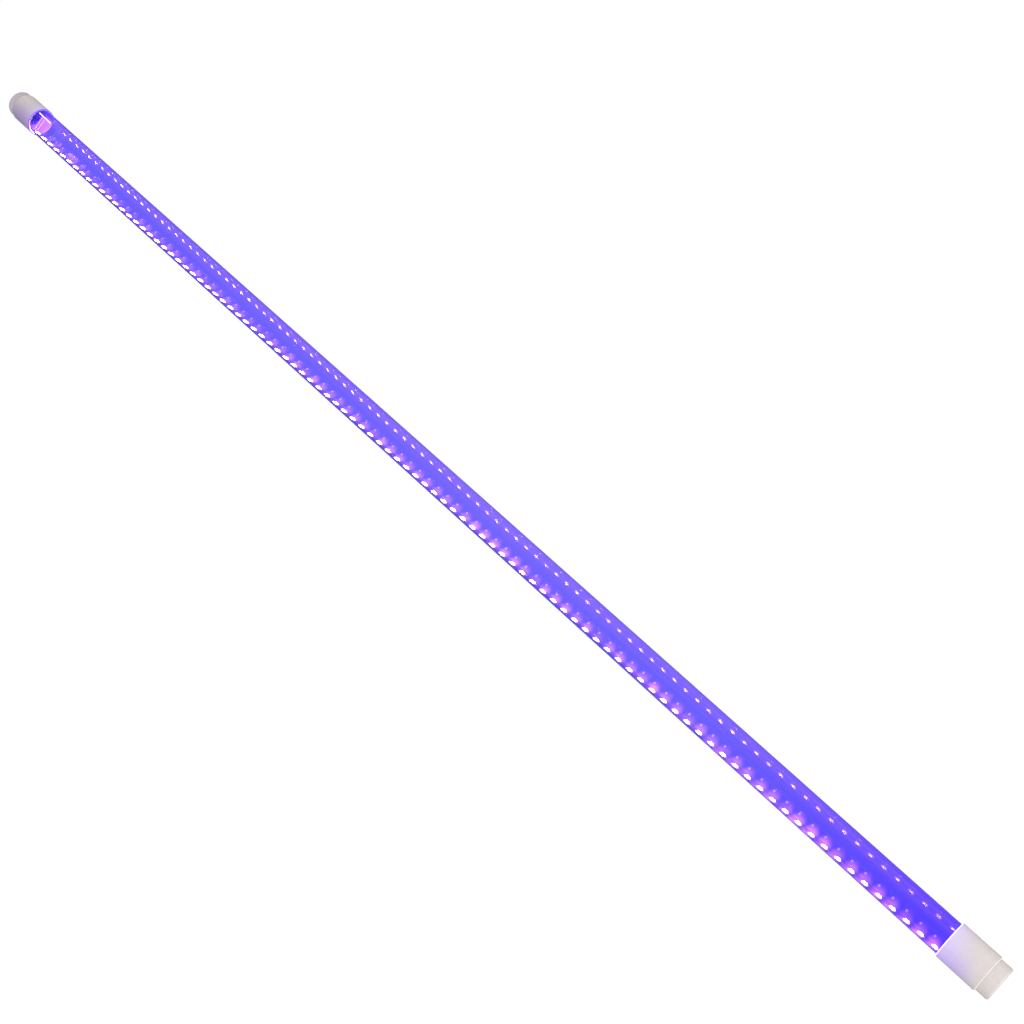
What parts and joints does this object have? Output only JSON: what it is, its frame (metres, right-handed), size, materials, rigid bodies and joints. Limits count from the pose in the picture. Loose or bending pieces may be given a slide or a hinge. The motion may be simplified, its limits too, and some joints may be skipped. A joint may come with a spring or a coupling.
{
  "type": "led light tube",
  "caption": "Clear glass LED light tube with one row of LEDs on its inner wall and a white cap at each end whose nose turns to aim the light.",
  "frame": {"origin": "middle of the tube's axis, which is the centre of the bounding box", "axes": "+X along the tube from the driver end to the plain end, +Z the way the LEDs shine, +Y completes the right-handed frame"},
  "size_m": [1.1994, 0.0282, 0.0282],
  "materials": {
    "clear_tube": "clear, violet-blue when lit",
    "led_board": "white solder mask, LEDs lit violet",
    "silicone": "milky silicone",
    "tinned_metal": "tinned copper",
    "white_plastic": "satin warm white",
    "insulation": "pressed insulation board",
    "pin_brass": "polished",
    "spring_steel": "bright",
    "black_rubber": "matt",
    "circuit_board": "green solder mask",
    "liner": "insulating paper",
    "capacitor_sleeve": "shrunk sleeve",
    "ferrite": "sintered",
    "black_package": "moulded epoxy",
    "film_capacitor": "dipped",
    "fuse_ceramic": "glazed",
    "red_lead": "silicone insulation",
    "black_lead": "silicone insulation",
    "white_lead": "silicone insulation"
  },
  "bodies": {
    "root": {"clear_tube": "clear_tube", "driver_half_led_board": "led_board", "plain_half_led_board": "led_board", "driver_half_adhesive": "silicone", "plain_half_adhesive": "silicone", "bridge_strap_left": "tinned_metal", "bridge_strap_right": "tinned_metal", "driver_end_cap": "white_plastic", "plain_end_cap": "white_plastic", "driver_end_glue_ring": "silicone", "plain_end_glue_ring": "silicone", "driver_board": "circuit_board", "insulating_liner": "liner", "smoothing_capacitor": "capacitor_sleeve", "driver_inductor": "ferrite", "bridge_rectifier": "black_package", "driver_chip": "black_package", "interference_capacitor": "film_capacitor", "input_fuse": "fuse_ceramic", "input_lead_live": "red_lead", "input_lead_neutral": "black_lead", "output_lead_positive": "white_lead", "output_lead_negative": "white_lead"},
    "driver_nose": {"driver_end_nose": "white_plastic", "driver_end_contact_carrier": "insulation", "driver_end_pin_left": "pin_brass", "driver_end_pin_right": "pin_brass", "driver_end_hub_clip": "spring_steel", "driver_end_drag_ring": "black_rubber"},
    "plain_nose": {"plain_end_nose": "white_plastic", "plain_end_contact_carrier": "insulation", "plain_end_pin_left": "pin_brass", "plain_end_pin_right": "pin_brass", "plain_end_hub_clip": "spring_steel", "plain_end_drag_ring": "black_rubber", "plain_end_pin_link": "tinned_metal"}
  },
  "joints": [
    {"name": "driver_nose_turn", "type": "hinge", "parent": "root", "child": "driver_nose", "pos_m": [-0.5902, 0, 0], "axis": [1, 0, 0], "range_deg": [-90, 90]},
    {"name": "plain_nose_turn", "type": "hinge", "parent": "root", "child": "plain_nose", "pos_m": [0.5902, 0, 0], "axis": [1, 0, 0], "range_deg": [-90, 90]}
  ]
}
